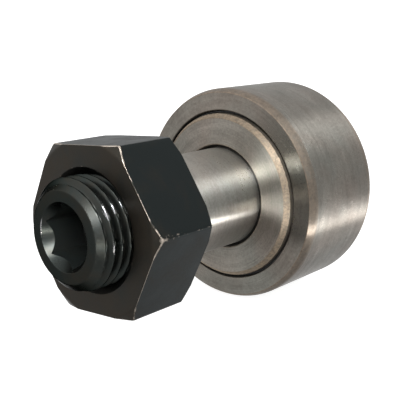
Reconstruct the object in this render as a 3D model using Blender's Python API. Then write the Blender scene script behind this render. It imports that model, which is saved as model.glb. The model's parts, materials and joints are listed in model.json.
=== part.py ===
"""Stud-type cam follower: a caged needle track roller on a threaded stud, with its hexagon nut.

The stud axis lies along +X, which points towards the threaded end. X = 0 is the face of the side plate
that seats on the machine. Every size below is in millimetres and is turned into metres when it is built.
"""
import math

import bmesh
import bpy
from mathutils import Matrix, Vector

MM = 0.001

# ---- outer ring ----
RING_R = 17.5                  # outside radius of the running surface
RING_FRONT_X = -1.0            # end face nearest the seat
RING_W = 18.0
RING_CHAMFER_L = 1.1           # the shallow lead at each edge of the running surface
RING_CHAMFER_DROP = 0.53
RING_MOUTH_R = 13.95           # counterbore that holds a seal
RING_MOUTH_CHAMFER = 0.18
RING_MOUTH_DEPTH = 2.7
RING_RACE_R = 13.0

# ---- side plate, and the stud's head which mirrors it ----
PLATE_R = 13.55
PLATE_FACE_R = 12.95           # the rim is a cone from here out to the full radius
PLATE_CONE_L = 1.0
PLATE_T = 3.5
PLATE_STEP_R = 13.15           # smaller rim behind the seal's lip
PLATE_STEP_X = -2.0
PLATE_BORE_R = 8.42
PLATE_BORE_CHAMFER = 0.2
HEAD_PROUD = 0.8               # how far the head stands out of the ring

# ---- stud ----
STUD_LENGTH = 32.5             # seat to the threaded end
SHANK_R = 8.0
SEAT_R = 8.27                  # the plate is pressed on here
SEAT_SHOULDER_X = -3.8
RECESS_X = -1.2                # floor of the narrow recess round the shank
RACE_R = 10.0
THREAD_START_X = 15.2
THREAD_PITCH = 1.5
THREAD_ROOT_R = 7.1
THREAD_CREST = 0.2
THREAD_GROOVES = 11
END_FACE_R = 6.55
SOCKET_AF = 8.0
SOCKET_DEPTH = 6.7
SOCKET_MOUTH_R = 4.9
SOCKET_DRILL_R = 3.8
SOCKET_CONE_HALF = math.radians(30.0)
SOCKET_TURN = math.radians(12.0)   # angles are measured from +Y towards +Z
CHANNEL_R = 1.5
CROSS_HOLE_R = 1.0
NIPPLE_HOLE_R = 3.1
NIPPLE_HOLE_DEPTH = 6.8

# ---- rolling elements and their cage ----
NEEDLES = 16
PITCH_R = 11.5
NEEDLE_R = 1.46
NEEDLE_L = 9.8
NEEDLE_END_CHAMFER = 0.25
CAGE_R_IN = 10.5
CAGE_R_OUT = 12.5
CAGE_L = 12.0
POCKET_L = 10.1
POCKET_W = 3.1

# ---- seals ----
SEAL_R_OUT = 13.84
SEAL_R_IN = 13.63
SEAL_LIP_R = 13.28
SEAL_FRONT_X = -1.75
SEAL_T = 1.65
SEAL_LIP_T = 1.2

# ---- nut ----
NUT_AF = 24.0
NUT_FACE_X = 28.05
NUT_T = 10.95
NUT_CHAMFER_R = 12.6
NUT_CHAMFER_SLOPE = math.tan(math.radians(30.0))
NUT_MOUTH_R = 9.02
NUT_GROOVE_R = 8.3
NUT_TOOTH_R = 7.45
NUT_TOOTH_HALF = 0.2
NUT_TURN = math.radians(34.83)

# ---- grease nipple in the head ----
NIPPLE_R = 2.9
NIPPLE_L = 6.0
NIPPLE_FLANGE_SET_BACK = 0.2
NIPPLE_MOUTH_R = 0.75
NIPPLE_BORE_R = 1.45
BALL_R = 1.0
BALL_X = -18.3
BALL_SEAT_X = -18.6             # where the bore starts to close on the ball
SPRING_R = 0.85
SPRING_WIRE_R = 0.18
SPRING_TURNS = 3
SPRING_X = (-16.5, -14.45)

# ---- facets round each turned piece ----
RING_SEGMENTS = 72
PLATE_SEGMENTS = 48
STUD_SEGMENTS = 36
CAGE_SEGMENTS = 64
SEAL_SEGMENTS = 48
SMALL_SEGMENTS = 16
NEEDLE_SEGMENTS = 12

RING_MID_X = RING_FRONT_X - RING_W / 2
HEAD_X = RING_FRONT_X - RING_W - HEAD_PROUD
MERGE = 1e-7
X_AXIS = Vector((1.0, 0.0, 0.0))


def clear_scene():
    for obj in list(bpy.data.objects):
        bpy.data.objects.remove(obj, do_unlink=True)


def material(name, colour, roughness, metallic):
    mat = bpy.data.materials.new(name)
    mat.use_nodes = True
    shader = mat.node_tree.nodes["Principled BSDF"]
    shader.inputs["Base Color"].default_value = (*colour, 1.0)
    shader.inputs["Roughness"].default_value = roughness
    shader.inputs["Metallic"].default_value = metallic
    return mat


def add_object(name, bm, mat=None, smooth_deg=30.0):
    """Closes a bmesh into a named object in the scene, with its faces pointing out."""
    bmesh.ops.remove_doubles(bm, verts=bm.verts, dist=MERGE)
    bmesh.ops.recalc_face_normals(bm, faces=bm.faces)
    if bm.calc_volume(signed=True) < 0:
        bmesh.ops.reverse_faces(bm, faces=bm.faces)
    mesh = bpy.data.meshes.new(name)
    bm.to_mesh(mesh)
    bm.free()
    mesh.shade_smooth()
    mesh.set_sharp_from_angle(angle=math.radians(smooth_deg))
    obj = bpy.data.objects.new(name, mesh)
    bpy.context.scene.collection.objects.link(obj)
    if mat:
        mesh.materials.append(mat)
    return obj


def turned(outline, segments):
    """Turns a closed outline of (x, r) points, in millimetres, round the X axis."""
    bm = bmesh.new()
    verts = [bm.verts.new((x * MM, r * MM, 0.0)) for x, r in outline]
    edges = [bm.edges.new((a, b)) for a, b in zip(verts, verts[1:] + verts[:1])]
    bmesh.ops.spin(
        bm, geom=verts + edges, cent=(0, 0, 0), axis=X_AXIS,
        angle=2 * math.pi, steps=segments, use_merge=True,
    )
    return bm


def prism(sides, apothem, x0, x1, turn=0.0):
    """A prism along X whose first flat faces the angle turn, measured from +Y towards +Z."""
    bm = bmesh.new()
    corner = apothem / math.cos(math.pi / sides) * MM
    angles = [turn + (i + 0.5) * 2 * math.pi / sides for i in range(sides)]
    ring = [bm.verts.new((x0 * MM, corner * math.cos(a), corner * math.sin(a))) for a in angles]
    face = bm.faces.new(ring)
    moved = bmesh.ops.extrude_face_region(bm, geom=[face])["geom"]
    tops = [v for v in moved if isinstance(v, bmesh.types.BMVert)]
    bmesh.ops.translate(bm, verts=tops, vec=((x1 - x0) * MM, 0, 0))
    return bm


def as_cutter(obj):
    obj.hide_render = True
    obj.display_type = "WIRE"
    return obj


def boolean(obj, other, operation):
    mod = obj.modifiers.new(f"{operation.lower()}_{other.name}", "BOOLEAN")
    mod.operation = operation
    mod.solver = "EXACT"
    mod.object = as_cutter(other)


def mirrored(outline):
    """The same outline turned end for end about the middle of the ring."""
    return [(2 * RING_MID_X - x, r) for x, r in outline]


def thread_grooves():
    """Parallel V grooves at the thread's pitch, ending where the last one meets the lead chamfer."""
    points = []
    flank = (THREAD_PITCH - THREAD_CREST) / 2
    for i in range(THREAD_GROOVES):
        x = THREAD_START_X + i * THREAD_PITCH
        points += [(x, SHANK_R), (x + flank, THREAD_ROOT_R)]
        if i < THREAD_GROOVES - 1:
            points.append((x + 2 * flank, SHANK_R))
    root_x = points[-1][0]
    rise = (SHANK_R - THREAD_ROOT_R) / flank
    chamfer_start = STUD_LENGTH - (SHANK_R - END_FACE_R)
    meet_x = (SHANK_R + chamfer_start - THREAD_ROOT_R + rise * root_x) / (rise + 1)
    points.append((meet_x, SHANK_R - (meet_x - chamfer_start)))
    return points


def build_stud(mat):
    head_inner = 2 * RING_MID_X + PLATE_T
    step_x = 2 * RING_MID_X - PLATE_STEP_X
    countersink = (SOCKET_MOUTH_R - SOCKET_DRILL_R) / math.tan(SOCKET_CONE_HALF)
    floor_x = STUD_LENGTH - SOCKET_DEPTH
    outline = [
        (HEAD_X, NIPPLE_HOLE_R), (HEAD_X, PLATE_FACE_R), (HEAD_X + PLATE_CONE_L, PLATE_R),
        (step_x, PLATE_R), (step_x, PLATE_STEP_R), (head_inner, PLATE_STEP_R), (head_inner, RACE_R),
        (SEAT_SHOULDER_X, RACE_R), (SEAT_SHOULDER_X, SEAT_R), (RECESS_X, SEAT_R), (RECESS_X, SHANK_R),
    ]
    outline += thread_grooves()
    outline += [
        (STUD_LENGTH, END_FACE_R), (STUD_LENGTH, SOCKET_MOUTH_R),
        (STUD_LENGTH - countersink, SOCKET_DRILL_R), (floor_x - 0.4, SOCKET_DRILL_R),
        (floor_x - 1.6, CHANNEL_R), (HEAD_X + NIPPLE_HOLE_DEPTH, CHANNEL_R),
        (HEAD_X + NIPPLE_HOLE_DEPTH, NIPPLE_HOLE_R),
    ]
    stud = add_object("stud", turned(outline, STUD_SEGMENTS), mat)
    socket = prism(6, SOCKET_AF / 2, floor_x, STUD_LENGTH + 1.0, SOCKET_TURN)
    boolean(stud, add_object("cut_socket", socket), "DIFFERENCE")
    hole = bmesh.new()
    length = RACE_R + 1.0
    bmesh.ops.create_cone(
        hole, cap_ends=True, segments=10, radius1=CROSS_HOLE_R * MM, radius2=CROSS_HOLE_R * MM,
        depth=length * MM, matrix=Matrix.Translation((RING_MID_X * MM, 0, -length / 2 * MM)),
    )
    boolean(stud, add_object("cut_cross_hole", hole), "DIFFERENCE")


def build_ring(mat):
    lip = RING_MOUTH_R + RING_MOUTH_CHAMFER
    half = [
        (RING_FRONT_X - RING_MOUTH_DEPTH, RING_RACE_R), (RING_FRONT_X - RING_MOUTH_DEPTH, RING_MOUTH_R),
        (RING_FRONT_X - RING_MOUTH_CHAMFER, RING_MOUTH_R), (RING_FRONT_X, lip),
        (RING_FRONT_X, RING_R - RING_CHAMFER_DROP), (RING_FRONT_X - RING_CHAMFER_L, RING_R),
    ]
    add_object("outer_ring", turned(half + mirrored(half)[::-1], RING_SEGMENTS), mat)


def build_plate(mat):
    outline = [
        (-PLATE_T, PLATE_BORE_R), (-PLATE_BORE_CHAMFER, PLATE_BORE_R),
        (0.0, PLATE_BORE_R + PLATE_BORE_CHAMFER), (0.0, PLATE_FACE_R),
        (-PLATE_CONE_L, PLATE_R), (PLATE_STEP_X, PLATE_R), (PLATE_STEP_X, PLATE_STEP_R),
        (-PLATE_T, PLATE_STEP_R),
    ]
    add_object("side_plate", turned(outline, PLATE_SEGMENTS), mat)


def build_seals(mat):
    back = SEAL_FRONT_X - SEAL_T
    half = [
        (back, SEAL_LIP_R), (back + SEAL_LIP_T, SEAL_LIP_R), (back + SEAL_LIP_T, SEAL_R_IN),
        (SEAL_FRONT_X, SEAL_R_IN), (SEAL_FRONT_X, SEAL_R_OUT), (back, SEAL_R_OUT),
    ]
    add_object("seal_front", turned(half, SEAL_SEGMENTS), mat)
    add_object("seal_rear", turned(mirrored(half), SEAL_SEGMENTS), mat)


def build_cage(mat):
    x0, x1 = RING_MID_X - CAGE_L / 2, RING_MID_X + CAGE_L / 2
    outline = [(x0, CAGE_R_IN), (x1, CAGE_R_IN), (x1, CAGE_R_OUT), (x0, CAGE_R_OUT)]
    cage = add_object("needle_cage", turned(outline, CAGE_SEGMENTS), mat)
    pockets = bmesh.new()
    for i in range(NEEDLES):
        place = Matrix.Rotation(2 * math.pi * i / NEEDLES, 4, "X")
        place = place @ Matrix.Translation((RING_MID_X * MM, PITCH_R * MM, 0))
        scale = Matrix.Diagonal((POCKET_L * MM, 2 * (CAGE_R_OUT - CAGE_R_IN) * MM, POCKET_W * MM, 1.0))
        bmesh.ops.create_cube(pockets, size=1.0, matrix=place @ scale)
    boolean(cage, add_object("cut_pockets", pockets), "DIFFERENCE")


def build_needles(mat):
    half, c = NEEDLE_L / 2, NEEDLE_END_CHAMFER
    outline = [
        (-half, 0.0), (half, 0.0), (half, NEEDLE_R - c), (half - c, NEEDLE_R),
        (c - half, NEEDLE_R), (-half, NEEDLE_R - c),
    ]
    for i in range(NEEDLES):
        angle = 2 * math.pi * i / NEEDLES
        needle = add_object(f"needle_{i + 1:02d}", turned(outline, NEEDLE_SEGMENTS), mat)
        needle.location = Vector((RING_MID_X, PITCH_R * math.cos(angle), PITCH_R * math.sin(angle))) * MM
        needle.rotation_euler = (angle, 0.0, 0.0)


def build_nut(mat):
    back = NUT_FACE_X - NUT_T
    blank_r = NUT_AF / 2 / math.cos(math.pi / 6) + 0.6
    drop = (blank_r - NUT_CHAMFER_R) * NUT_CHAMFER_SLOPE
    mouth = NUT_MOUTH_R - NUT_GROOVE_R
    outline = [
        (NUT_FACE_X, NUT_MOUTH_R), (NUT_FACE_X, NUT_CHAMFER_R), (NUT_FACE_X - drop, blank_r),
        (back + drop, blank_r), (back, NUT_CHAMFER_R), (back, NUT_MOUTH_R), (back + mouth, NUT_GROOVE_R),
    ]
    first = THREAD_START_X + (THREAD_PITCH - THREAD_CREST) / 2
    centre = first + THREAD_PITCH * math.ceil((back + mouth + THREAD_PITCH / 2 - first) / THREAD_PITCH)
    outline.append((centre - THREAD_PITCH / 2, NUT_GROOVE_R))
    while centre + THREAD_PITCH / 2 < NUT_FACE_X - mouth:
        outline += [(centre - NUT_TOOTH_HALF, NUT_TOOTH_R), (centre + NUT_TOOTH_HALF, NUT_TOOTH_R)]
        outline.append((centre + THREAD_PITCH / 2, NUT_GROOVE_R))
        centre += THREAD_PITCH
    outline.append((NUT_FACE_X - mouth, NUT_GROOVE_R))
    nut = add_object("hex_nut", turned(outline, STUD_SEGMENTS), mat)
    hexagon = prism(6, NUT_AF / 2, back - 1.0, NUT_FACE_X + 1.0, NUT_TURN)
    boolean(nut, add_object("keep_hexagon", hexagon), "INTERSECT")


def build_nipple(body_mat, ball_mat):
    face = HEAD_X + NIPPLE_FLANGE_SET_BACK
    end = face + NIPPLE_L
    outline = [
        (face, NIPPLE_MOUTH_R), (face, NIPPLE_R), (end - 0.4, NIPPLE_R), (end, NIPPLE_R - 0.4),
        (end, CHANNEL_R * 0.6), (end - 0.7, CHANNEL_R * 0.6), (end - 0.7, NIPPLE_BORE_R),
        (BALL_SEAT_X, NIPPLE_BORE_R), (BALL_SEAT_X - 0.6, NIPPLE_MOUTH_R),
    ]
    add_object("grease_nipple", turned(outline, SMALL_SEGMENTS), body_mat)
    sphere = bmesh.new()
    bmesh.ops.create_uvsphere(sphere, u_segments=12, v_segments=8, radius=BALL_R * MM)
    ball = add_object("nipple_ball", sphere, ball_mat)
    ball.location = (BALL_X * MM, 0.0, 0.0)
    coil = bmesh.new()
    steps, sides = 12 * SPRING_TURNS, 6
    length = SPRING_X[1] - SPRING_X[0] - 2 * SPRING_WIRE_R
    rings = []
    for i in range(steps + 1):
        a = 2 * math.pi * SPRING_TURNS * i / steps
        centre = Vector((SPRING_X[0] + SPRING_WIRE_R + length * i / steps, SPRING_R * math.cos(a),
                         SPRING_R * math.sin(a)))
        out = Vector((0.0, math.cos(a), math.sin(a)))
        around = [2 * math.pi * k / sides for k in range(sides)]
        rings.append([
            coil.verts.new((centre + SPRING_WIRE_R * (math.cos(t) * out + math.sin(t) * X_AXIS)) * MM)
            for t in around
        ])
    for first, second in zip(rings, rings[1:]):
        for k in range(sides):
            n = (k + 1) % sides
            coil.faces.new((first[k], first[n], second[n], second[k]))
    coil.faces.new(rings[0][::-1])
    coil.faces.new(rings[-1])
    add_object("nipple_spring", coil, ball_mat)


def main():
    clear_scene()
    ground = material("ground_bearing_steel", (0.42, 0.39, 0.35), 0.3, 1.0)
    bright = material("bright_ground_stud", (0.55, 0.52, 0.48), 0.22, 1.0)
    plate = material("ground_side_plate", (0.40, 0.37, 0.33), 0.36, 1.0)
    black = material("black_oxide", (0.035, 0.034, 0.032), 0.38, 0.6)
    polish = material("polished_rollers", (0.62, 0.61, 0.59), 0.12, 1.0)
    sheet = material("pressed_cage", (0.50, 0.48, 0.44), 0.3, 1.0)
    seal = material("seal_plastic", (0.02, 0.02, 0.02), 0.5, 0.0)
    brass = material("nipple_brass", (0.62, 0.45, 0.18), 0.3, 1.0)
    build_stud(bright)
    build_ring(ground)
    build_plate(plate)
    build_seals(seal)
    build_cage(sheet)
    build_needles(polish)
    build_nut(black)
    build_nipple(brass, polish)


main()
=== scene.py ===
"""Looks for the stud-type cam follower: fine turned meshes and procedural steel on the CAD frame."""
import json
import math

import bpy
import numpy as np
from mathutils import Matrix, Vector

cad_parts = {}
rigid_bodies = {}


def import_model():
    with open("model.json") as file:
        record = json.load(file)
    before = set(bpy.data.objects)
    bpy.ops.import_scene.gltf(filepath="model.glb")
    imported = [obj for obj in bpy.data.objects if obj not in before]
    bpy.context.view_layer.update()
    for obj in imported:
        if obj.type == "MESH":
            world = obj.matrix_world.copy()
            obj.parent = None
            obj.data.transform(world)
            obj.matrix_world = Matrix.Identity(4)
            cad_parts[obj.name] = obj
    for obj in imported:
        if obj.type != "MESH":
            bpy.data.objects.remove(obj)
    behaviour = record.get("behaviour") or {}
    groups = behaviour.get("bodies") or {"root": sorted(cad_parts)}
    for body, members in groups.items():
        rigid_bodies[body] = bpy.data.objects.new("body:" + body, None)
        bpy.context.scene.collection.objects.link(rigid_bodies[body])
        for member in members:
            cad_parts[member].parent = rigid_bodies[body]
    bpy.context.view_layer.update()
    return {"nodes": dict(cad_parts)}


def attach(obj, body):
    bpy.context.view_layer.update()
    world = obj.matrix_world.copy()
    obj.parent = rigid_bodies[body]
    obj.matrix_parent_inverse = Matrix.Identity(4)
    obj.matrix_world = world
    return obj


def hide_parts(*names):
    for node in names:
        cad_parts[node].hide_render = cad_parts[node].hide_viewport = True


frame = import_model()

MM = 0.001
TAU = 2 * math.pi

# ---- sizes in millimetres, the same as the CAD ----
RING_FRONT, RING_BACK, RING_R, RING_MOUTH = -1.0, -19.0, 17.5, 13.95
HEAD_X, STUD_END = -19.8, 32.5
SHANK_R, THREAD_X, PITCH, ROOT_R = 8.0, 15.2, 1.5, 7.1
END_FACE_R, MOUTH_R, SOCKET_AF, SOCKET_DEPTH = 6.55, 4.9, 8.0, 6.7
SOCKET_TURN = math.radians(12.0)
NUT_FACE, NUT_T, NUT_AF, NUT_CHAMFER_R = 28.05, 10.95, 24.0, 12.6
NUT_TURN = math.radians(34.83)
PLATE_R, PLATE_FACE_R = 13.55, 12.95
FLOOR_Z = -RING_R

# ---- details that only the visual model has, in millimetres ----
THREAD_FROM, THREAD_ROW, THREAD_RUN_IN = 14.5, 0.06, 1.2
EDGE_BREAK = 0.03
LEAD_R, LEAD_X = 16.97, -2.1
KNOCK_X, KNOCK_R, KNOCK_SIZE = NUT_FACE - 0.75, 13.75, 0.62
# the helix's start as a part of one pitch, and the wear at the nut's knocked corner
THREAD_PHASE, KNOCK_WEAR = 0.18, 1.2
# painted glints, as bare bright steel round the stud where the lights glint on the thread and the socket's mouth:
# (angle, spread) in degrees
CREST_GLINT, CREST_LOW_GLINT, MOUTH_GLINT = (33.0, 11.0), (-2.0, 9.0), (170.0, 16.0)


# ------------------------------------------------------------------ geometry
def fillet(points, radius, steps=4, support=0.12, closed=True, worn=None):
    """Rounds each corner of an (x, r) outline. radius is one number or one per corner.

    Returns rows of (x, r, wear), where wear is 1 on the rounded edges and 0 on the flats beside them."""
    n = len(points)
    radii = radius if hasattr(radius, "__len__") else [radius] * n
    rows = []
    for i, p in enumerate(points):
        p = np.array(p, float)
        if not closed and i in (0, n - 1):
            rows.append((p[0], p[1], 0.0))
            continue
        a, b = np.array(points[i - 1], float), np.array(points[(i + 1) % n], float)
        la, lb = np.linalg.norm(a - p), np.linalg.norm(b - p)
        ua, ub = (a - p) / la, (b - p) / lb
        half = math.acos(max(-1.0, min(1.0, float(ua @ ub)))) / 2
        t = min(radii[i] / math.tan(half), 0.4 * la, 0.4 * lb)
        s = t + min(support, 0.08 * la, 0.08 * lb)
        rows.append((*(p + ua * s), 0.0))
        for k in range(steps + 1) if t > 1e-6 else (0,):  # a radius of 0 leaves one row
            f = k / steps
            q = p + ua * t * (1 - f) ** 2 + ub * t * f**2
            rows.append((*q, worn[i] if worn else 1.0))
        rows.append((*(p + ub * s), 0.0))
    return rows


def add_attribute(mesh, name, values):
    layer = mesh.attributes.new(name, "FLOAT", "POINT")
    layer.data.foreach_set("value", values.astype(np.float32).ravel())


def grid_mesh(name, x, r, theta, wear, smooth_deg=32.0, grime=None):
    """A closed body from rows of points round the X axis: x and r are (rows, columns) in millimetres."""
    rows, cols = x.shape
    co = np.stack([x, r * np.cos(theta), r * np.sin(theta)], -1).reshape(-1, 3) * MM
    i, j = np.meshgrid(np.arange(rows), np.arange(cols), indexing="ij")
    i2, j2 = (i + 1) % rows, (j + 1) % cols
    faces = np.stack([i * cols + j, i2 * cols + j, i2 * cols + j2, i * cols + j2], -1).reshape(-1, 4)
    tri = co[faces]
    volume = np.einsum("ij,ij->i", np.cross(tri[:, 0], tri[:, 1]), tri[:, 2]).sum()
    if volume < 0:
        faces = faces[:, ::-1]
    mesh = bpy.data.meshes.new(name)
    mesh.from_pydata(co.tolist(), [], faces.tolist())
    uv = mesh.uv_layers.new(name="UVMap")
    loop = faces.reshape(-1)
    uv.data.foreach_set("uv", np.stack([(loop % cols) / cols, (loop // cols) / rows], -1).ravel())
    add_attribute(mesh, "wear", np.broadcast_to(wear, x.shape))
    # grime marks where the shade in the gaps is painted dark into the colour
    if grime is not None:
        add_attribute(mesh, "grime", grime(x, r))
    mesh.shade_smooth()
    mesh.set_sharp_from_angle(angle=math.radians(smooth_deg))
    return mesh


def add_piece(name, mesh, materials, body, nodes):
    """A visible piece that rides on a body, in place of the CAD nodes it is named for."""
    obj = bpy.data.objects.new(name, mesh)
    bpy.context.scene.collection.objects.link(obj)
    for material in materials:
        mesh.materials.append(material)
    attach(obj, body)
    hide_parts(*nodes)
    return obj


def turned_mesh(name, rows, segments, smooth_deg=32.0, grime=None):
    """A turned body from its outline's rows of (x, r, wear)."""
    rows = np.array(rows)
    theta = np.arange(segments) * TAU / segments
    x = np.repeat(rows[:, :1], segments, 1)
    r = np.repeat(rows[:, 1:2], segments, 1)
    return grid_mesh(name, x, r, theta[None, :], rows[:, 2:3], smooth_deg, grime)


def off_flat(theta, turn):
    """The angle from the middle of the nearest side of a hexagon."""
    return (theta - turn + math.pi / 6) % (math.pi / 3) - math.pi / 6


def hexagon(theta, af, turn, corner_r):
    """The distance to the side of a hexagon at each angle, with its corners rounded."""
    flat = off_flat(theta, turn)
    to_corner = math.pi / 6 - np.abs(flat)
    centre = (af / 2 - corner_r) / math.cos(math.pi / 6)
    aside = centre * np.sin(to_corner)
    arc = centre * np.cos(to_corner) + np.sqrt(np.maximum(corner_r**2 - aside**2, 0))
    side = af / 2 / np.cos(flat)
    return np.where(aside < corner_r * math.sin(math.pi / 6) * 1.0001, np.minimum(side, arc), side)


def near(angle, spot):
    """1 at a place round the axis, falling off to 0 beside it. spot is (angle, spread) in degrees."""
    return np.exp(-(((angle - spot[0]) / spot[1]) ** 2))


def stud_mesh():
    """The stud, from the hole in its head round the outside to the floor of the hexagon socket."""
    cols = 240
    theta = np.arange(cols) * TAU / cols
    rows_x, rows_r, rows_w = [], [], []

    def add(x, r, w=0.0):
        rows_x.append(np.broadcast_to(x, (cols,)))
        rows_r.append(np.broadcast_to(r, (cols,)))
        rows_w.append(np.broadcast_to(w, (cols,)))

    # (x, r, fillet radius, wear) of each corner
    corners = [
        (-13.0, 3.1, 0.1, 0.0), (HEAD_X, 3.1, 0.15, 0.3),
        (HEAD_X, 12.95, 0.18, 0.5), (HEAD_X + 1.0, 13.55, 0.3, 1.0),
        (-18.0, 13.55, 0.1, 0.5), (-18.0, 13.15, 0.1, 0.3),
        (-16.5, 13.15, 0.1, 0.0), (-16.5, 10.0, 0.15, 0.0),
        (-3.8, 10.0, 0.2, 0.0), (-3.8, 8.27, 0.1, 0.3),
        (-1.2, 8.27, 0.15, 0.5), (-1.2, SHANK_R, 0.08, 0.0),
        (-0.4, SHANK_R, 0.0, 0.0), (-0.1, SHANK_R, 0.0, 0.0),
        (7.0, SHANK_R, 0.0, 0.0), (14.4, SHANK_R, 0.1, 0.0),
    ]
    outline, radii, worn = [c[:2] for c in corners], [c[2] for c in corners], [c[3] for c in corners]
    for x, r, w in fillet(outline, radii, closed=False, worn=worn):
        add(x, r, w)

    # the thread: one right-hand helix, with rounded crests and roots, cut by the lead chamfer
    side = (np.degrees(theta) + 180.0) % 360.0 - 180.0
    # painted glints: a little real wear all round the crests, and bare steel at the angles where the lights glint
    crest_wear_and_glint = 0.12 + near(side, CREST_GLINT) + 0.5 * near(side, CREST_LOW_GLINT)
    chamfer_start = STUD_END - (SHANK_R - END_FACE_R)
    for x in np.arange(THREAD_FROM, STUD_END - 0.01, THREAD_ROW):
        phase = ((x - THREAD_X) / PITCH - THREAD_PHASE - theta / TAU) % 1.0
        from_root = np.abs(phase - 0.5) * 2
        depth = np.clip((0.87 - from_root) / 0.70, 0, 1)
        depth = depth * depth * (3 - 2 * depth) * 0.35 + depth * 0.65
        fade = min(1.0, max(0.0, (x - THREAD_X + 0.3) / THREAD_RUN_IN))
        r = SHANK_R - (SHANK_R - ROOT_R) * depth * fade
        cone = SHANK_R - (x - chamfer_start)
        w = np.clip(1 - depth * 1.8, 0, 1) * (x > THREAD_X - 0.2) * crest_wear_and_glint
        add(x, np.minimum(r, cone) if x > chamfer_start else r, np.where(r > cone, 0.0, w))

    # the end face
    # painted glint: a little real wear round the socket's mouth, and bare steel at its left side where a light
    # glints
    mouth_wear_and_glint = 0.2 + 0.8 * near(np.degrees(theta), MOUTH_GLINT)
    add(STUD_END - 0.10, END_FACE_R + 0.09, 0.1)
    add(STUD_END - EDGE_BREAK, END_FACE_R, 0.2)
    add(STUD_END, END_FACE_R - 0.10, 0.1)
    add(STUD_END, END_FACE_R - 0.2)
    add(STUD_END, (END_FACE_R + MOUTH_R) / 2 - 0.125)
    add(STUD_END, MOUTH_R + 0.16)
    add(STUD_END, MOUTH_R + 0.05, mouth_wear_and_glint)
    add(STUD_END - EDGE_BREAK, MOUTH_R, mouth_wear_and_glint)

    # the socket: a cone that runs into six flats, then the drill's cone and the grease hole
    wall = hexagon(theta, SOCKET_AF, SOCKET_TURN, 0.12)
    meet = STUD_END - (MOUTH_R - wall) / math.tan(math.radians(30.0))
    start = STUD_END - EDGE_BREAK
    for f in (0.15, 0.4, 0.7, 0.9):
        add(start + (meet - start) * f, MOUTH_R + (wall - MOUTH_R) * f, 0.2 * mouth_wear_and_glint)
    add(meet, wall, 0.25)
    floor = STUD_END - SOCKET_DEPTH
    for f in (0.04, 0.2, 0.6, 0.97):
        add(meet + (floor - meet) * f, wall)
    add(floor, wall - 0.03)
    for x, r in ((floor, 3.8), (floor - 1.2, 1.7), (floor - 1.3, 1.5), (-12.9, 1.5), (-13.0, 1.6)):
        add(x, r)

    # painted shade: the relief groove at the shank's root is darkened in the colour
    def in_shaded_recess(x, r):
        return (x < -0.3) & (x > -4.0) & (r < 9.0)

    rows = [np.array(values) for values in (rows_x, rows_r, rows_w)]
    return grid_mesh("stud_turned", rows[0], rows[1], theta[None, :], rows[2], 28.0, in_shaded_recess)


def nut_mesh():
    """The nut: six sides, each end cut by a 30 degree cone, and a bore with chamfered mouths."""
    cols = 360
    theta = np.arange(cols) * TAU / cols + NUT_TURN % (TAU / cols)
    back = NUT_FACE - NUT_T
    slope = math.tan(math.radians(30.0))
    bore, mouth = 8.1, 9.02
    radii = [0.15, 0.12, 0.9, 0.22, 0.18, 0.9, 0.12, 0.15]
    worn = [0.1, 0.3, 0.0, 1.0, 0.35, 0.0, 0.2, 0.1]
    columns = []
    for h in hexagon(theta, NUT_AF, NUT_TURN, 0.35):
        start = min(NUT_CHAMFER_R, h - 0.05)
        drop = (h - start) * slope + 0.02
        outline = [
            (NUT_FACE - (mouth - bore), bore), (NUT_FACE, mouth), (NUT_FACE, start), (NUT_FACE - drop, h),
            (back + drop, h), (back, start), (back, mouth), (back + (mouth - bore), bore),
        ]
        columns.append(fillet(outline, radii, support=0.4, worn=worn))
    x, r, wear = np.array(columns).transpose(2, 1, 0)
    # the ridges between the six sides are worn too, and one corner has been knocked
    ridge = np.clip(1 - (math.pi / 6 - np.abs(off_flat(theta, NUT_TURN))) / 0.02, 0, 1)
    wear = np.maximum(wear, ridge[None, :] * (r > 13.0) * 0.35)
    round_corner = (theta[None, :] - (NUT_TURN - math.pi / 6)) * 13.8
    away = (x - KNOCK_X) ** 2 + (r - KNOCK_R) ** 2 + round_corner**2
    wear = np.maximum(wear, KNOCK_WEAR * np.exp(-away / KNOCK_SIZE**2))
    return grid_mesh("nut_forged", x, r, theta[None, :], wear, 24.0)


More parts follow.
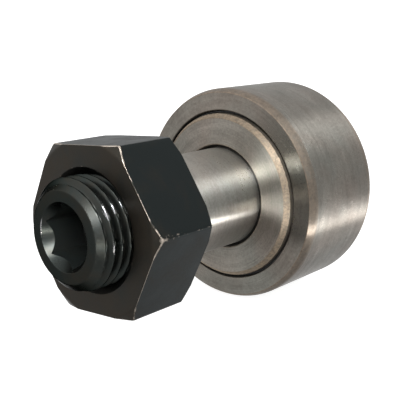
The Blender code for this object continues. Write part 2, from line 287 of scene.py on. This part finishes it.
# ------------------------------------------------------------------ materials
class Look:
    """A Principled material with small helpers for its nodes."""

    def __init__(self, name):
        self.mat = bpy.data.materials.new(name)
        self.mat.use_nodes = True
        self.nt = self.mat.node_tree
        self.shader = self.nt.nodes["Principled BSDF"]
        self.coord = self.node("ShaderNodeTexCoord").outputs["Object"]

    def node(self, kind, **settings):
        n = self.nt.nodes.new(kind)
        for key, value in settings.items():
            setattr(n, key, value)
        return n

    def put(self, socket, value):
        if isinstance(value, bpy.types.NodeSocket):
            self.nt.links.new(value, socket)
        else:
            socket.default_value = value

    def math(self, op, a, b=0.0, c=0.0, clamp=False):
        n = self.node("ShaderNodeMath", operation=op, use_clamp=clamp)
        for k, v in enumerate((a, b, c)):
            self.put(n.inputs[k], v)
        return n.outputs[0]

    def noise(self, vector, scale, detail=4.0, rough=0.55, distortion=0.0):
        n = self.node("ShaderNodeTexNoise")
        self.put(n.inputs["Vector"], vector)
        n.inputs["Scale"].default_value = scale
        n.inputs["Detail"].default_value = detail
        n.inputs["Roughness"].default_value = rough
        n.inputs["Distortion"].default_value = distortion
        return n.outputs["Fac"]

    def remap(self, value, a, b, c=0.0, d=1.0):
        n = self.node("ShaderNodeMapRange")
        self.put(n.inputs["Value"], value)
        for key, v in zip(("From Min", "From Max", "To Min", "To Max"), (a, b, c, d)):
            n.inputs[key].default_value = v
        return n.outputs[0]

    def mix(self, factor, a, b):
        n = self.node("ShaderNodeMix", data_type="RGBA")
        self.put(n.inputs[0], factor)
        self.put(n.inputs[6], (*a, 1.0) if isinstance(a, tuple) else a)
        self.put(n.inputs[7], (*b, 1.0) if isinstance(b, tuple) else b)
        return n.outputs[2]

    def times(self, a, b):
        n = self.node("ShaderNodeMix", data_type="RGBA", blend_type="MULTIPLY")
        n.inputs[0].default_value = 1.0
        self.put(n.inputs[6], a)
        self.put(n.inputs[7], b)
        return n.outputs[2]

    def lathe_vector(self, across, around):
        """A vector that varies fast across turning marks and slowly along them, with no seam."""
        sep = self.node("ShaderNodeSeparateXYZ")
        self.put(sep.inputs[0], self.coord)
        x, y, z = sep.outputs
        radius = self.math("SQRT", self.math("ADD", self.math("MULTIPLY", y, y), self.math("MULTIPLY", z, z)))
        safe = self.math("MAXIMUM", radius, 1e-5)
        comb = self.node("ShaderNodeCombineXYZ")
        self.put(comb.inputs[0], self.math("MULTIPLY", self.math("ADD", x, radius), across))
        self.put(comb.inputs[1], self.math("MULTIPLY", self.math("DIVIDE", y, safe), around))
        self.put(comb.inputs[2], self.math("MULTIPLY", self.math("DIVIDE", z, safe), around))
        return comb.outputs[0]

    def wear(self, scale, low, high):
        """The mesh's wear, broken up by noise."""
        broken = self.remap(self.noise(self.coord, scale, 5.0, 0.65), low, high)
        return self.math("MULTIPLY", self.attribute("wear"), broken, clamp=True)

    def add(self, *values):
        total = values[0]
        for value in values[1:]:
            total = self.math("ADD", total, value)
        return total

    def scaled(self, value, factor):
        return self.math("MULTIPLY", value, factor)

    def attribute(self, name):
        return self.node("ShaderNodeAttribute", attribute_name=name).outputs["Fac"]

    def bump(self, height, strength, distance):
        n = self.node("ShaderNodeBump")
        n.inputs["Strength"].default_value = strength
        n.inputs["Distance"].default_value = distance
        self.put(n.inputs["Height"], height)
        return n.outputs[0]

    def finish(self, colour, roughness, metallic, normal, anisotropic=0.0):
        s = self.shader
        self.put(s.inputs["Base Color"], colour)
        self.put(s.inputs["Roughness"], roughness)
        self.put(s.inputs["Metallic"], metallic)
        self.put(s.inputs["Normal"], normal)
        if anisotropic:
            s.inputs["Anisotropic"].default_value = anisotropic
            s.inputs["Anisotropic Rotation"].default_value = 0.25
            tangent = self.node("ShaderNodeTangent", direction_type="RADIAL", axis="X")
            self.put(s.inputs["Tangent"], tangent.outputs[0])
        return self.mat


def ground_steel(name, dark, light, edge, rough, around=3.0, line=9000.0, anisotropic=0.5, grain=0.35,
                 worn_rough=0.2):
    """Ground steel: fine turning lines, faint blotches of oil, brighter edges, and painted shade beside the gaps.
    """
    k = Look(name)
    lines = k.noise(k.lathe_vector(line, around), 1.0, 3.0, 0.6)
    bands = k.noise(k.lathe_vector(line * 0.12, around * 0.6), 1.0, 3.0, 0.5)
    blotch = k.noise(k.coord, 160.0, 5.0, 0.6, 0.6)
    speck = k.noise(k.coord, 2600.0, 4.0, 0.7)
    tone = k.add(k.scaled(lines, 0.26), k.scaled(bands, 0.20), k.scaled(blotch, 0.30), k.scaled(speck, 0.34))
    colour = k.mix(k.remap(tone, 0.44, 0.66), dark, light)
    # patches of a warmer and a cooler tint
    warmth = k.remap(k.noise(k.coord, 95.0, 3.0, 0.5, 0.5), 0.35, 0.65)
    colour = k.times(colour, k.mix(warmth, (1.03, 0.985, 0.95), (0.95, 1.0, 0.985)))
    # worn edges, mottled
    mottle = k.remap(k.noise(k.coord, 1900.0, 5.0, 0.75), 0.38, 0.62)
    worn_colour = k.mix(mottle, tuple(0.55 * c for c in edge), edge)
    colour = k.mix(k.scaled(k.wear(700.0, 0.1, 0.5), 0.8), colour, worn_colour)
    # painted shade in the gaps between parts, ragged at its edge
    grime = k.attribute("grime")
    ragged = k.scaled(k.math("SUBTRACT", k.noise(k.coord, 1100.0, 4.0, 0.7), 0.5), 1.6)
    gap_shade_amount = k.remap(k.add(grime, ragged), 0.35, 0.6)
    gap_shade_amount = k.math("MULTIPLY", gap_shade_amount, k.remap(grime, 0.0, 0.1), clamp=True)
    colour = k.mix(k.scaled(gap_shade_amount, 0.85), colour, (0.03, 0.028, 0.024))
    roughness = k.add(k.remap(tone, 0.4, 0.7, rough + 0.06, rough - 0.05), k.scaled(gap_shade_amount, 0.2),
                      k.scaled(k.wear(700.0, 0.0, 0.4), worn_rough))
    height = k.add(k.scaled(lines, 0.7), k.scaled(speck, 0.3))
    return k.finish(colour, roughness, 1.0, k.bump(height, grain, 0.00001), anisotropic)


def black_oxide(name, blue, brown, rough, bare, wear=1.0, end_brown=0.75, grain=0.4, tint=1.0, metallic=1.0,
                chips=0.15, depth=0.00003, grit_scale=1700.0):
    """Oiled black oxide: bluish on the sides, browner on the ends, bare steel along broken edges."""
    k = Look(name)
    cloud = k.noise(k.coord, 230.0, 5.0, 0.6, 0.4)
    speck = k.noise(k.coord, 2600.0, 4.0, 0.7)
    fine = k.noise(k.coord, 6000.0, 3.0, 0.6)
    sep = k.node("ShaderNodeSeparateXYZ")
    k.put(sep.inputs[0], k.node("ShaderNodeTexCoord").outputs["Normal"])
    end = k.scaled(k.math("ABSOLUTE", sep.outputs[0]), end_brown)
    rust = k.math("ADD", end, k.remap(cloud, 0.35, 0.7, -0.25, 0.45), clamp=True)
    colour = k.mix(rust, blue, brown)
    colour = k.mix(k.scaled(k.remap(speck, 0.70, 0.78), 0.45), colour, (0.12, 0.105, 0.09))
    # bare steel where the mesh is worn, broken into patches and grit; on the thread and the socket's mouth this
    # also holds painted glints
    patches = k.remap(k.noise(k.coord, 170.0, 3.0, 0.6), 0.30, 0.55, 0.25, 1.0)
    attr = k.attribute("wear")
    grit = k.scaled(k.math("SUBTRACT", k.noise(k.coord, grit_scale, 5.0, 0.7), 0.5), 1.5)
    worn = k.remap(k.add(k.math("MULTIPLY", attr, patches), grit), 0.42, 0.85)
    worn = k.math("MULTIPLY", k.math("MULTIPLY", worn, k.remap(attr, 0.02, 0.12)), wear, clamp=True)
    colour = k.mix(worn, colour, bare)
    roughness = k.add(k.remap(cloud, 0.3, 0.7, rough - 0.04, rough + 0.08), k.scaled(speck, 0.12))
    height = k.add(k.scaled(cloud, 0.6), k.scaled(fine, 0.3), k.scaled(speck, chips))
    k.shader.inputs["Specular Tint"].default_value = (tint, tint, tint, 1.0)
    return k.finish(colour, roughness, metallic, k.bump(height, grain, depth))


def plain_look(name, dark, light, rough, metallic, scale=900.0):
    """Sealed-in pieces: two tones, uneven gloss and a fine grain."""
    k = Look(name)
    cloud = k.noise(k.coord, scale, 5.0, 0.6)
    fine = k.noise(k.coord, scale * 8, 3.0, 0.6)
    colour = k.mix(k.remap(cloud, 0.35, 0.7), dark, light)
    roughness = k.remap(cloud, 0.3, 0.7, rough - 0.04, rough + 0.06)
    return k.finish(colour, roughness, metallic, k.bump(fine, 0.3, 0.00001))


ring_steel = ground_steel(
    "ring_ground_steel", (0.150, 0.136, 0.120), (0.25, 0.231, 0.207), edge=(0.27, 0.208, 0.155), rough=0.29,
    anisotropic=0.97, grain=0.2, worn_rough=0.02)
plate_steel = ground_steel(
    "plate_turned_steel", (0.18, 0.164, 0.145), (0.31, 0.285, 0.255), edge=(0.47, 0.375, 0.275), rough=0.4,
    around=2.0, line=6000.0, anisotropic=0.95, worn_rough=0.35)
shank_steel = ground_steel(
    "shank_ground_steel", (0.27, 0.255, 0.235), (0.42, 0.40, 0.37), edge=(0.40, 0.36, 0.31), rough=0.30,
    around=3.0, line=12000.0, anisotropic=0.97, grain=0.15)
head_steel = ground_steel(
    "head_turned_steel", (0.15, 0.135, 0.118), (0.27, 0.245, 0.215), edge=(0.42, 0.34, 0.26), rough=0.3,
    around=2.0, line=6000.0, anisotropic=0.7)
nut_black = black_oxide(
    "nut_black_oxide", (0.020, 0.0245, 0.0245), (0.034, 0.029, 0.023), rough=0.36, bare=(0.46, 0.40, 0.34))
thread_black = black_oxide(
    "thread_black_oxide", (0.028, 0.032, 0.030), (0.042, 0.034, 0.026), rough=0.24, bare=(0.55, 0.54, 0.55),
    wear=0.85, end_brown=0.15, grain=0.6, tint=0.25, chips=0.3, depth=0.000008, grit_scale=3600.0)
# painted shade: the socket's walls get a far darker, less metallic black than the thread, for the shade inside the
# socket
socket_shade_black = black_oxide(
    "socket_black_oxide", (0.006, 0.0075, 0.007), (0.009, 0.009, 0.0075), rough=0.35, bare=(0.4, 0.35, 0.3),
    wear=0.8, end_brown=0.2, grain=0.6, tint=0.3, metallic=0.2)
seal_black = plain_look("seal_black", (0.008, 0.008, 0.008), (0.02, 0.019, 0.018), 0.45, 0.0)
roller_bright = plain_look("roller_bright", (0.50, 0.49, 0.47), (0.62, 0.61, 0.59), 0.14, 1.0)
cage_steel = plain_look("cage_steel", (0.36, 0.34, 0.31), (0.50, 0.48, 0.45), 0.3, 1.0, 500.0)
nipple_brass = plain_look("nipple_brass", (0.50, 0.34, 0.12), (0.66, 0.48, 0.2), 0.28, 1.0, 600.0)

# ------------------------------------------------------------------ pieces
ring_half = [(-3.7, 13.0), (-3.7, RING_MOUTH), (-1.18, RING_MOUTH), (RING_FRONT, RING_MOUTH + 0.18),
             (RING_FRONT, LEAD_R), (LEAD_X, RING_R)]
ring_outline = ring_half + [(RING_FRONT + RING_BACK - x, r) for x, r in reversed(ring_half)]
ring_radii = [0.2, 0.1, 0.12, 0.12, 0.14, 3.0]
ring_worn = [0.0, 0.0, 0.2, 0.2, 1.0, 0.6]
ring_rows = fillet(ring_outline, ring_radii + ring_radii[::-1], 6, 0.05, True, ring_worn + ring_worn[::-1])
# the whole of each lead is worn, not only its edges
ring_middle = (RING_FRONT + RING_BACK) / 2
ring_rows = [(x, r, max(w, 0.75) if r > LEAD_R and abs(x - ring_middle) > 7.9 else w) for x, r, w in ring_rows]
# painted shade in the ring's mouth, in the gap beside the seals
add_piece(
    "outer_ring_ground",
    turned_mesh("outer_ring_ground", ring_rows, 256, 20.0, lambda x, r: r < RING_MOUTH + 0.12),
    [ring_steel], "outer_ring", ["outer_ring"])

plate_outline = [
    (-3.5, 8.42), (-0.2, 8.42), (0.0, 8.62), (0.0, PLATE_FACE_R), (-0.8, 13.43), (-1.0, PLATE_R), (-2.0, PLATE_R),
    (-2.0, 13.15), (-3.5, 13.15),
]
plate_radii = [0.1, 0.08, 0.08, 0.2, 0.1, 0.1, 0.1, 0.1, 0.1]
plate_rows = [(x, r, 1.0 if r > PLATE_FACE_R - 0.02 and -1.2 < x else w)
              for x, r, w in fillet(plate_outline, plate_radii, 5, 0.05)]
# painted shade on the plate's rim inside the ring's mouth and in its bore
add_piece(
    "side_plate_turned",
    turned_mesh("side_plate_turned", plate_rows, 256, 32.0, lambda x, r: (x < -0.82) | ((r < 8.5) & (x < 0.0))),
    [plate_steel], "stud", ["side_plate"])

seal_half = [(-3.4, 13.28), (-2.2, 13.28), (-2.2, 13.63), (-1.75, 13.63), (-1.75, 13.84), (-3.4, 13.84)]
for seal, outline in (("front", seal_half), ("rear", [(-20.0 - x, r) for x, r in seal_half])):
    add_piece(
        f"seal_{seal}_moulded", turned_mesh(f"seal_{seal}_moulded", fillet(outline, 0.06, 3), 192),
        [seal_black], "outer_ring", [f"seal_{seal}"])

stud_looks = [shank_steel, head_steel, thread_black, socket_shade_black]
stud = add_piece("stud_threaded", stud_mesh(), stud_looks, "stud", ["stud"])
# bright shank, turned head, dark thread, and a socket darker still with painted shade
centres = np.empty(len(stud.data.polygons) * 3)
stud.data.polygons.foreach_get("center", centres)
cx = centres[0::3] / MM
cr = np.hypot(centres[1::3], centres[2::3]) / MM
normals = np.empty(len(stud.data.polygons) * 3)
stud.data.polygons.foreach_get("normal", normals)
in_socket = (cx > 24.0) & (cr < 4.8) & ((np.abs(normals[0::3]) < 0.3) | (cx < 28.5))
part_of_stud = np.select([in_socket, cx > 14.6, cx < -16.0], [3, 2, 1], 0)
stud.data.polygons.foreach_set("material_index", part_of_stud.astype(np.int32))

add_piece("hex_nut_forged", nut_mesh(), [nut_black], "nut", ["hex_nut"])

# the sealed-in pieces keep their CAD solids
for node, obj in frame["nodes"].items():
    if node == "needle_cage":
        obj.material_slots[0].material = cage_steel
    elif node.startswith(("needle_", "nipple_")):
        obj.material_slots[0].material = roller_bright

nipple_outline = [
    (-19.6, 0.75), (-19.6, 2.9), (-14.0, 2.9), (-13.6, 2.5), (-13.6, 0.9), (-14.3, 0.9), (-14.3, 1.45),
    (-18.6, 1.45), (-19.2, 0.75),
]
add_piece("grease_nipple_turned", turned_mesh("grease_nipple_turned", fillet(nipple_outline, 0.1, 4), 96),
          [nipple_brass], "stud", ["grease_nipple"])


# ------------------------------------------------------------------ stage, light and camera
def stage_sheet(name, corners):
    """A plain white sheet seen behind the part but not in its reflections, which come from the world."""
    mesh = bpy.data.meshes.new(name)
    mesh.from_pydata(corners, [], [tuple(range(len(corners)))])
    sheet = bpy.data.objects.new(name, mesh)
    bpy.context.scene.collection.objects.link(sheet)
    mat = bpy.data.materials.new(name)
    mat.use_nodes = True
    shader = mat.node_tree.nodes["Principled BSDF"]
    shader.inputs["Base Color"].default_value = (0.5, 0.5, 0.5, 1)
    shader.inputs["Roughness"].default_value = 1.0
    shader.inputs["Specular IOR Level"].default_value = 0.0
    shader.inputs["Emission Color"].default_value = (1, 1, 1, 1)
    shader.inputs["Emission Strength"].default_value = 0.86
    mesh.materials.append(mat)
    sheet.visible_glossy = False


def area_light(name, place, target, size, strength, edges, pieces, colour=(1, 1, 1)):
    """A rectangle of light that reaches only these pieces, as a reflector card placed close to them does.

    edges gives, for each side, how far in from it the light takes to reach full."""
    light = bpy.data.lights.new(name, "AREA")
    light.shape = "RECTANGLE"
    light.size, light.size_y = size[0] * MM, size[1] * MM
    light.energy = strength * math.pi * light.size * light.size_y
    light.color = colour
    obj = bpy.data.objects.new(name, light)
    bpy.context.scene.collection.objects.link(obj)
    place, target = Vector(place) * MM, Vector(target) * MM
    z = (place - target).normalized()
    x = Vector((1, 0, 0)) - z * z.x
    x.normalize()
    obj.matrix_world = Matrix.Translation(place) @ Matrix((x, z.cross(x), z)).transposed().to_4x4()
    obj.visible_camera = False
    group = bpy.data.collections.new(name + "_pieces")
    for piece in bpy.data.objects:
        if piece.type == "MESH" and piece.name.startswith(pieces):
            group.objects.link(piece)
    obj.light_linking.receiver_collection = group

    light.use_nodes = True
    nt = light.node_tree
    emission = next(n for n in nt.nodes if n.type == "EMISSION")
    sep = nt.nodes.new("ShaderNodeSeparateXYZ")
    nt.links.new(nt.nodes.new("ShaderNodeNewGeometry").outputs["Parametric"], sep.inputs[0])

    def node(op, a, b):
        n = nt.nodes.new("ShaderNodeMath")
        n.operation = op
        for k, v in enumerate((a, b)):
            if isinstance(v, bpy.types.NodeSocket):
                nt.links.new(v, n.inputs[k])
            else:
                n.inputs[k].default_value = v
        return n.outputs[0]

    u = sep.outputs[1]
    v = node("SUBTRACT", node("SUBTRACT", 1.0, sep.outputs[0]), u)
    total = None
    for value, width in zip((u, node("SUBTRACT", 1.0, u), v, node("SUBTRACT", 1.0, v)), edges):
        ramp = nt.nodes.new("ShaderNodeMapRange")
        ramp.interpolation_type = "SMOOTHSTEP"
        nt.links.new(value, ramp.inputs["Value"])
        ramp.inputs["From Max"].default_value = width
        total = ramp.outputs[0] if total is None else node("MULTIPLY", total, ramp.outputs[0])
    nt.links.new(total, emission.inputs["Strength"])


def world(back_side, front_side):
    """Each side is a list of (height, level): bright above and below, darker round the horizon.

    back_side is what lies towards -X, and front_side what the side plate and the nut's face look at."""
    w = bpy.data.worlds.new("studio")
    bpy.context.scene.world = w
    w.use_nodes = True
    nt = w.node_tree
    coord = nt.nodes.new("ShaderNodeTexCoord")
    sep = nt.nodes.new("ShaderNodeSeparateXYZ")
    nt.links.new(coord.outputs["Generated"], sep.inputs[0])
    ramps = []
    for stops in (back_side, front_side):
        ramp = nt.nodes.new("ShaderNodeValToRGB")
        while len(ramp.color_ramp.elements) < len(stops):
            ramp.color_ramp.elements.new(0.5)
        for element, (z, level) in zip(ramp.color_ramp.elements, stops):
            element.position = (z + 1) / 2
            element.color = (level, level * 1.005, level * 1.01, 1)
        height = nt.nodes.new("ShaderNodeMapRange")
        height.inputs["From Min"].default_value = -1.0
        nt.links.new(sep.outputs[2], height.inputs["Value"])
        nt.links.new(height.outputs[0], ramp.inputs[0])
        ramps.append(ramp)
    front = nt.nodes.new("ShaderNodeMapRange")
    front.inputs["From Min"].default_value = -0.1
    front.inputs["From Max"].default_value = 0.5
    nt.links.new(sep.outputs[0], front.inputs["Value"])
    mix = nt.nodes.new("ShaderNodeMix")
    mix.data_type = "RGBA"
    nt.links.new(front.outputs[0], mix.inputs[0])
    nt.links.new(ramps[0].outputs[0], mix.inputs[6])
    nt.links.new(ramps[1].outputs[0], mix.inputs[7])
    nt.links.new(mix.outputs[2], nt.nodes["Background"].inputs[0])


reach, low, high = 30.0, FLOOR_Z * MM, 12.0
corners = [(-reach, -reach, low), (reach, -reach, low), (reach, reach, low), (-reach, reach, low)]
stage_sheet("pale_floor", corners)
for i in range(4):
    turn = Matrix.Rotation(i * math.pi / 2, 3, "Z")
    wall = [(reach, -reach, low), (reach, -reach, high), (reach, reach, high), (reach, reach, low)]
    stage_sheet(f"pale_wall_{i + 1}", [tuple(turn @ Vector(p)) for p in wall])

world(
    back_side=[(-1.0, 0.45), (-0.72, 0.55), (-0.58, 1.3), (-0.42, 1.4), (-0.22, 1.05), (0.0, 0.72), (0.2, 0.72),
               (0.5, 0.86), (1.0, 1.0)],
    front_side=[(-1.0, 1.2), (-0.7, 0.75), (-0.4, 0.65), (-0.2, 0.95), (0.05, 1.1), (0.3, 1.6), (1.0, 2.1)])

# a low bright strip beside each bright piece, soft towards its lower edge
for piece, z, strength in (("outer_ring_", -12.4, 5.4), ("side_plate_", -11.5, 11.0), ("stud_", -13.4, 10.0)):
    area_light("strip_low_" + piece, (25, 30, z), (25, 10, 0), (190, 7), strength, (0.05, 0.05, 0.05, 0.85), piece)
area_light("strip_front", (100, 36, -13.6), (100, 8, 0), (120, 7), 65.0, (0.1, 0.1, 0.3, 0.3), "side_plate_")
# the large soft lights
area_light("soft_front", (205, 160, 134), (0, 8, 2), (220, 260), 39.0, (0.3, 0.3, 0.5, 0.5),
           ("side_plate_", "stud_", "hex_nut_", "seal_", "grease_"))
area_light("soft_front_ring", (205, 150, 130), (0, 8, 2), (320, 420), 2.8, (0.3, 0.3, 0.5, 0.5), "outer_ring_")
area_light("soft_back", (-209, 131, 182), (-10, 0, 0), (240, 230), 3.2, (0.4, 0.4, 0.5, 0.5), "outer_ring_")
# two small ones that pick out the thread and the stud's bevel
area_light("soft_sheen", (195, 132, 112), (31, 6, 4), (80, 100), 60.0, (0.3, 0.3, 0.3, 0.3), "stud_",
           (0.9, 0.97, 1.08))
area_light("strip_bevel", (66, 38, -12.5), (31.8, 7.2, 0.0), (40, 9), 26.0, (0.3, 0.3, 0.3, 0.3), "stud_",
           (1.05, 0.96, 0.86))

# the camera, as fitted to the edges in the photo: place in millimetres, focal length in pixels
place, look, right = (95.30, 80.54, 29.70), (-0.72552, -0.64628, -0.23652), (-0.66515, 0.74671, 0.0)
focal_px, photo_px = 779.38, 400.0
cam_data = bpy.data.cameras.new("camera")
cam_data.sensor_width = 36.0
cam_data.lens = cam_data.sensor_width * focal_px / photo_px
cam_data.clip_start = 0.005
cam_data.clip_end = 100.0
camera = bpy.data.objects.new("camera", cam_data)
bpy.context.scene.collection.objects.link(camera)
look, right = Vector(look), Vector(right)
up = right.cross(look)
rotation = Matrix((right, up, -look)).transposed().to_4x4()
camera.matrix_world = Matrix.Translation(Vector(place) * MM) @ rotation
bpy.context.scene.camera = camera
bpy.context.scene.view_settings.view_transform = "Standard"
